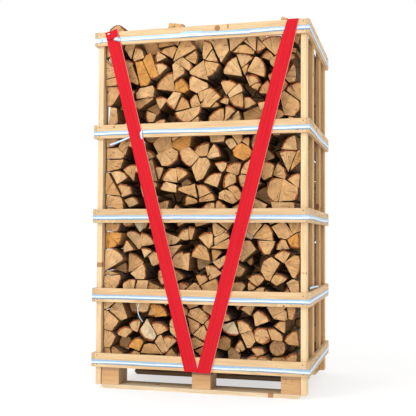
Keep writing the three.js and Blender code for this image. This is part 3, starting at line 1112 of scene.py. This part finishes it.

# %% [markdown]
# ## Steel straps
#
# The strap is bright galvanised steel, about as wide as a thumb. It is pulled tight round each ring, so it
# is flat on the boards, and bends sharply at the four corners. Its bluish upper half, white lower half and
# darker lower edge are painted reflection and painted shade in its colour, not a shape of the strap.
#
# A closed strap starts as one flat rectangle. Bevelling its corners gives the bends, and its outline is
# drawn up to the strap's width.

# %% Strap finish
STRAP_THICK = 0.001


def galvanised():
    finish, tree, shader = new_finish("galvanised strap", specular=0.5)
    place = node(tree, "TexCoord").outputs["Object"]
    level = node(tree, "SeparateXYZ", {0: node(tree, "UVMap", uv_map="band").outputs[0]}).outputs[0]
    drift = blotches(tree, stretched(tree, place, 2.6, 2.6, 9.0), 1.0, 3.0)
    level = maths(tree, "ADD", level, maths(tree, "MULTIPLY_ADD", drift, 0.8, -0.4))
    # painted reflection and painted shade: by height on the strap, a dark blue lower edge, a white band and
    # a bluish upper half stand for the sky and floor reflected in the steel
    painted_reflection_low = ramp(tree, level, 0.12, 0.3)
    painted_reflection_high = ramp(tree, level, 0.5, 0.66)
    colour = mix(tree, painted_reflection_low, (0.20, 0.31, 0.43, 1), (0.74, 0.84, 0.90, 1))
    colour = mix(tree, painted_reflection_high, colour, (0.33, 0.49, 0.66, 1))
    spangle = node(tree, "TexVoronoi", {"Vector": place, "Scale": 210.0}).outputs["Color"]
    grey = node(tree, "SeparateColor", {0: spangle}).outputs[0]
    colour = mix(tree, 1.0, colour, ramp(tree, grey, 0.0, 1.0, 0.9, 1.04), "MULTIPLY")
    dirt = ramp(tree, blotches(tree, place, 45.0, 5.0, 0.7), 0.6, 0.76, 0.0, 0.5)
    colour = mix(tree, dirt, colour, (0.22, 0.21, 0.20, 1))
    feed(tree, shader["Base Color"], colour)
    shader["Metallic"].default_value = 0.35
    scratch = blotches(tree, stretched(tree, place, 14.0, 14.0, 900.0), 1.0, 2.0)
    feed(tree, shader["Roughness"], ramp(tree, scratch, 0.3, 0.7, 0.26, 0.5))
    wave = blotches(tree, stretched(tree, place, 6.0, 6.0, 60.0), 1.0, 2.0)
    raise_surface(tree, shader, maths(tree, "MULTIPLY_ADD", scratch, 0.15, wave), 0.0006)
    return finish


strap_finish = galvanised()
print("strap finish has", len(strap_finish.node_tree.nodes), "nodes")


# %% Straps round the rings
def strap_round(name):
    low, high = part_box(name)
    bm = bmesh.new()
    size = Matrix.Diagonal((high[0] - low[0] - STRAP_THICK, high[1] - low[1] - STRAP_THICK, 1, 1))
    bmesh.ops.create_grid(bm, x_segments=1, y_segments=1, size=0.5,
                          matrix=Matrix.Translation((0, 0, low[2])) @ size)
    bmesh.ops.bevel(bm, geom=bm.verts[:], offset=0.003, segments=4, profile=0.5, affect="VERTICES",
                    material=-1)
    bmesh.ops.delete(bm, geom=bm.faces[:], context="FACES_ONLY")
    long_edges = [e for e in bm.edges if e.calc_length() > 0.1]
    bmesh.ops.subdivide_edges(bm, edges=long_edges, cuts=30)
    share = bm.verts.layers.float.new("share")
    edges = bm.edges[:]
    rows = 4
    step = (high[2] - low[2]) / rows
    for i in range(rows):
        made = bmesh.ops.extrude_edge_only(bm, edges=edges)["geom"]
        edges = [e for e in made if isinstance(e, bmesh.types.BMEdge)]
        fresh = [v for v in made if isinstance(v, bmesh.types.BMVert)]
        bmesh.ops.translate(bm, vec=(0, 0, step), verts=fresh)
        for v in fresh:
            v[share] = (i + 1) / rows
    band_map = bm.loops.layers.uv.new("band")
    for face in bm.faces:
        for loop in face.loops:
            loop[band_map].uv = (loop.vert[share], loop.vert.co.x)
    bmesh.ops.recalc_face_normals(bm, faces=bm.faces[:])
    for v in bm.verts:
        v.co.z += 0.0016 * noise.noise(Vector((v.co.x, v.co.y, 0)) * 2.3 + Vector((0, 0, low[2] * 7)))
    piece = keep(bm, name + "_band", [strap_finish], [name])
    thicken(piece, STRAP_THICK)
    return piece


STRAPS = sorted(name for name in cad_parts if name.startswith("strap_ring"))
for name in STRAPS:
    print(name, count_triangles(strap_round(name)), "triangles")

# %% [markdown]
# ## Strap ends
#
# A strap is closed by lapping its two ends and crimping a seal over them. The top strap shows its lap, with
# the spare end running on below it, a hook at the left and a staple through the webbing. The fourth ring's
# spare ends were left long and hang down beside the left webbing, the second ring's lies along the top of
# its right board, and a thin offcut hangs in the lowest opening. Each is a short band with its own bends.

# %% Strap ends
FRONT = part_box("strap_ring_5")[0][1]


def short_strap(name, points, wide, across=None):
    """A loose piece of strap through a few points, as smooth as the points are."""
    points = [Vector(p) for p in points]
    if across is None:
        across = (points[-1] - points[0]).normalized().cross(Vector((0, 1, 0))).normalized()
    bm, _ = band([(p, across, wide) for p in points], columns=2)
    piece = keep(bm, name, [strap_finish])
    thicken(piece, STRAP_THICK * 0.8)
    return piece


def bowed(start, end, bow, steps=8):
    """Points from start to end that bow out sideways by `bow` in the middle."""
    start, end = Vector(start), Vector(end)
    for i in range(steps + 1):
        t = i / steps
        yield start.lerp(end, t) + Vector(bow) * 4 * t * (1 - t)


level_5, level_4 = (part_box(name)[0][2] + 0.012 for name in ("strap_ring_5", "strap_ring_4"))
short_strap("strap_5_lap", bowed((-0.1, FRONT - 0.0012, level_5 + 0.004),
                                 (0.285, FRONT - 0.0012, level_5 - 0.004), (0, -0.0008, 0)), 0.023)
short_strap("strap_5_seal", bowed((-0.097, FRONT - 0.0026, level_5 + 0.004),
                                  (0.027, FRONT - 0.0026, level_5 + 0.003), (0, -0.0006, 0)), 0.031)
short_strap("strap_5_hook", bowed((-0.574, FRONT - 0.001, level_5 + 0.008),
                                  (-0.55, FRONT - 0.001, level_5 - 0.006), (0, -0.007, 0)), 0.012)
short_strap("strap_5_bulge", bowed((-0.488, FRONT - 0.001, level_5 + 0.008),
                                   (-0.446, FRONT - 0.001, level_5 - 0.004), (0, -0.008, 0.002)), 0.022)
short_strap("strap_4_tail_left", bowed((-0.36, FRONT - 0.001, level_4 - 0.012),
                                       (-0.5, FRONT - 0.006, 1.337), (0, -0.004, -0.004)), 0.0115)
short_strap("strap_4_tail_right", bowed((-0.318, FRONT - 0.002, level_4 + 0.012),
                                        (-0.301, FRONT + 0.002, 1.343), (-0.009, -0.006, 0)), 0.0115)
short_strap("strap_2_offcut", bowed((-0.325, FRONT + 0.022, 0.482), (-0.31, FRONT + 0.02, 0.37),
                                    (-0.021, 0.0, 0)), 0.0055)
board_2_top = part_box("ring_2_right_board")[1][2]
short_strap("strap_2_tail", bowed((0.5925, -0.385, 0.567), (0.5905, 0.01, board_2_top + 0.006),
                                  (0.002, 0, 0.003)), 0.011, across=Vector((0, 0, 1)))
print("strap ends made")

# %% [markdown]
# ## Webbing
#
# The two red bands are woven polyester, 75 mm wide. Each is tucked up behind the lowest front board, comes
# out under it and runs up the front. The left band ends in a square fold that is turned forward over
# itself. The right one wraps over the left at the foot and goes over the top board.
#
# Woven webbing is stiff across its width, so its only shape is a long slow wave, and it sits a little
# away from the boards it crosses. Its weave is in the finish: ribs along the band, a finer line across
# them, and a paler woven edge on one side.

# %% Webbing finish
RIBS = 26


def red_webbing():
    finish, tree, shader = new_finish("red webbing", specular=0.12)
    place = node(tree, "TexCoord").outputs["Object"]
    parts = node(tree, "SeparateXYZ", {0: node(tree, "UVMap", uv_map="band").outputs[0]}).outputs
    across, along = parts[0], parts[1]
    rib = maths(tree, "SINE", maths(tree, "MULTIPLY", across, math.tau * RIBS))
    pick = maths(tree, "SINE", maths(tree, "MULTIPLY", along, math.tau / 0.0022))
    weave = maths(tree, "MULTIPLY_ADD", maths(tree, "MULTIPLY", rib, pick), 0.25,
                  maths(tree, "MULTIPLY_ADD", rib, 0.25, 0.5))
    band_place = node(tree, "CombineXYZ", {0: maths(tree, "MULTIPLY", across, 7.0),
                                           1: maths(tree, "MULTIPLY", along, 1.6), 2: 0.0}).outputs[0]
    # painted shade: darker red stripes along the band stand for the shade in its creases
    painted_crease_shade = blotches(tree, band_place, 1.0, 2.0, 0.5)
    soil = blotches(tree, place, 120.0, 6.0, 0.75)
    colour = mix(tree, ramp(tree, painted_crease_shade, 0.36, 0.6), (0.60, 0.011, 0.020, 1), (0.69, 0.014, 0.026, 1))
    colour = mix(tree, ramp(tree, soil, 0.46, 0.72, 0.0, 0.42), colour, (0.42, 0.008, 0.015, 1))
    colour = mix(tree, 1.0, colour, ramp(tree, weave, 0.0, 1.0, 0.82, 1.08), "MULTIPLY")
    fuzz = blotches(tree, place, 260.0, 2.0)
    edge = ramp(tree, maths(tree, "MULTIPLY_ADD", fuzz, 0.02, across), 0.982, 0.994)
    colour = mix(tree, maths(tree, "MULTIPLY", edge, 0.7), colour, (0.74, 0.46, 0.32, 1))
    feed(tree, shader["Base Color"], colour)
    feed(tree, shader["Roughness"], ramp(tree, fuzz, 0.3, 0.7, 0.72, 0.92))
    height = maths(tree, "MULTIPLY_ADD", fuzz, 0.4, weave)
    raise_surface(tree, shader, height, 0.0007)
    return finish


webbing_finish = red_webbing()
print("webbing finish has", len(webbing_finish.node_tree.nodes), "nodes")

# %% Webbing
WEB_WIDE = 0.075
WEB_THICK = 0.0025
TOUCH = 0.0003
BEND = 0.0016
TUCK_TOP = 0.15
FRONT_FACE = FRONT - TOUCH - WEB_THICK / 2  # the middle of a band that lies on the straps
WRAP_FACE = FRONT_FACE - WEB_THICK - TOUCH  # and of one that lies on another band
BOARD_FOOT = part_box("ring_1_front_board")[0][2]
BOARD_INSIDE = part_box("ring_1_front_board")[1][1]
CRATE_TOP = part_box("ring_5_front_board")[1][2]


def tucked_end(layer, face):
    """The side view of a band's lower end, as points in the Y-Z plane."""
    off = TOUCH + WEB_THICK / 2 + layer * (WEB_THICK + TOUCH)
    under, behind = BOARD_FOOT - off, BOARD_INSIDE + off
    yield Vector((0, behind, TUCK_TOP))
    yield from quarter_turn(Vector((0, behind - BEND, under + BEND)), BEND, 0, -90)
    yield from quarter_turn(Vector((0, face + BEND, under + BEND)), BEND, -90, -90)


def climb(points, target, steps):
    start = points[-1]
    for i in range(1, steps + 1):
        points.append(start.lerp(target, i / steps))


def slanted(points, foot_x, slope, wide_at):
    """Stations along a side view, moved sideways by `slope` for each metre of length."""
    stations = []
    run = 0.0
    for i, point in enumerate(points):
        if i:
            run += (point - points[i - 1]).length
        middle = point + Vector((foot_x + slope * run, 0, 0))
        stations.append((middle, Vector((1, 0, 0)), wide_at(point.z) * math.hypot(1, slope)))
    return stations


def left_webbing():
    foot_x, slope = -0.011, -0.256
    fold_height, flap = 1.972, 0.044
    points = list(tucked_end(0, FRONT_FACE))
    climb(points, Vector((0, FRONT_FACE, CRATE_TOP - 0.3)), 40)
    stations = slanted(points, foot_x, slope, lambda z: WEB_WIDE)
    angle = math.atan(-slope)
    along = Vector((-math.sin(angle), 0, math.cos(angle)))
    across = Vector((math.cos(angle), 0, math.sin(angle)))
    start = stations[-1][0]
    length = (fold_height - start.z) / math.cos(angle)
    r = (WEB_THICK + TOUCH) / 2
    for share in (0.25, 0.5, 0.75, 0.96):
        stations.append((start + along * length * share, across, WEB_WIDE))
    for i in range(9):
        turn = math.pi * i / 8
        middle = start + along * (length + r * math.sin(turn)) + Vector((0, r * (math.cos(turn) - 1), 0))
        stations.append((middle, across, WEB_WIDE))
    for share in (0.4, 0.7, 1.0):
        down = start + along * (length - flap * share)
        middle = down + Vector((0, -2 * r - 0.004 * share**2, 0.0))
        stations.append((middle, across, WEB_WIDE * (1 - 0.06 * share)))
    return stations


def right_webbing():
    foot_x, slope = 0.025, 0.2549
    gather_from, gathered = 1.8, 0.058
    off = TOUCH + WEB_THICK / 2
    over, behind = CRATE_TOP + off, BOARD_INSIDE + off
    points = list(tucked_end(1, WRAP_FACE))
    climb(points, Vector((0, WRAP_FACE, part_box("ring_1_front_board")[1][2] + 0.02)), 3)
    climb(points, Vector((0, FRONT_FACE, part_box("ring_2_front_board")[0][2])), 6)
    climb(points, Vector((0, FRONT_FACE, over - BEND)), 40)
    points += quarter_turn(Vector((0, FRONT_FACE + BEND, over - BEND)), BEND, 180, -90)
    points += quarter_turn(Vector((0, behind - BEND, over - BEND)), BEND, 90, -90)
    points.append(Vector((0, behind, over - 0.006)))

    def wide_at(z):
        share = max(0.0, min(1.0, (z - gather_from) / (CRATE_TOP - gather_from)))
        return WEB_WIDE + share * (gathered - WEB_WIDE)

    return slanted(points, foot_x, slope, wide_at)


def keep_webbing(side, stations):
    bm, length = band(stations)
    share = bm.verts.layers.float["share"]
    for v in bm.verts:
        free = min(1.0, max(0.0, (v.co.z - 0.2) * 4)) * min(1.0, max(0.0, (CRATE_TOP - 0.02 - v.co.z) * 12))
        wave = noise.noise(Vector((v[share] * 0.8, v.co.z * 2.1, 3.0 if side == "left" else 8.0)))
        edge = noise.noise(Vector((v[share] * 5.0, v.co.z * 9.0, 1.0)))
        v.co.y -= free * (0.002 + 0.002 * wave + 0.0007 * edge)
    piece = keep(bm, f"webbing_{side}_band", [webbing_finish], ["webbing_" + side])
    thicken(piece, WEB_THICK)
    print(piece.name, round(length, 3), "m long")


keep_webbing("left", left_webbing())
keep_webbing("right", right_webbing())
short_strap("webbing_staple", bowed((-0.519, FRONT - 0.0095, 1.954), (-0.507, FRONT - 0.0095, 1.957),
                                    (0, -0.002, 0)), 0.007)

# %% [markdown]
# ## Nails
#
# Two nails hold a ring board wherever it crosses a post. Only the heads show, as low cones whose steel has
# gone dark and partly rusty.

# %% Nails
HEAD_RADIUS = 0.0042


def nail_steel():
    finish, tree, shader = new_finish("nail steel", specular=0.5)
    place = node(tree, "TexCoord").outputs["Object"]
    rust = ramp(tree, blotches(tree, place, 240.0, 4.0, 0.65), 0.42, 0.66)
    feed(tree, shader["Base Color"], mix(tree, rust, (0.17, 0.16, 0.15, 1), (0.15, 0.065, 0.03, 1)))
    feed(tree, shader["Metallic"], ramp(tree, rust, 0.0, 1.0, 0.75, 0.1))
    feed(tree, shader["Roughness"], ramp(tree, rust, 0.0, 1.0, 0.4, 0.85))
    raise_surface(tree, shader, rust, 0.0003)
    return finish


def add_nail(bm, place, outward):
    turn = Vector(outward).to_track_quat("Z", "Y").to_matrix().to_4x4()
    bmesh.ops.create_cone(bm, cap_ends=True, segments=8, radius1=HEAD_RADIUS, radius2=HEAD_RADIUS * 0.62,
                          depth=0.0016, matrix=Matrix.Translation(place) @ turn)


def nail_rings(bm, draw):
    """Nails where each ring board crosses a post: the side boards along Y, the end boards at the corners."""
    posts = [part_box(name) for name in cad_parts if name.startswith("post")]
    for name in sorted(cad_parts):
        if not name.startswith("ring"):
            continue
        low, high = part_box(name)
        side = high[0] - low[0] < 0.1
        for post_low, post_high in posts:
            if side and (post_low[0] > 0) != (low[0] > 0):
                continue
            if not side and ((post_low[1] + post_high[1]) * (low[1] + high[1]) < 0
                             or abs(post_low[1] + post_high[1]) < 0.6):
                continue
            for share in (0.2, 0.82):
                z = low[2] + (high[2] - low[2]) * share + draw.normal(0, 0.002)
                if side:
                    x = high[0] if low[0] > 0 else low[0]
                    y = (post_low[1] + post_high[1]) / 2 + (share - 0.5) * 0.05 + draw.normal(0, 0.003)
                    add_nail(bm, (x, y, z), (1 if low[0] > 0 else -1, 0, 0))
                else:
                    x = (post_low[0] + post_high[0]) / 2 + draw.normal(0, 0.003)
                    y = high[1] if low[1] > 0 else low[1]
                    add_nail(bm, (x, y, z), (0, 1 if low[1] > 0 else -1, 0))


nails = bmesh.new()
nail_rings(nails, np.random.default_rng(71))
nail_piece = keep(nails, "nail_heads", [nail_steel()])
print("nail heads:", count_triangles(nail_piece), "triangles")
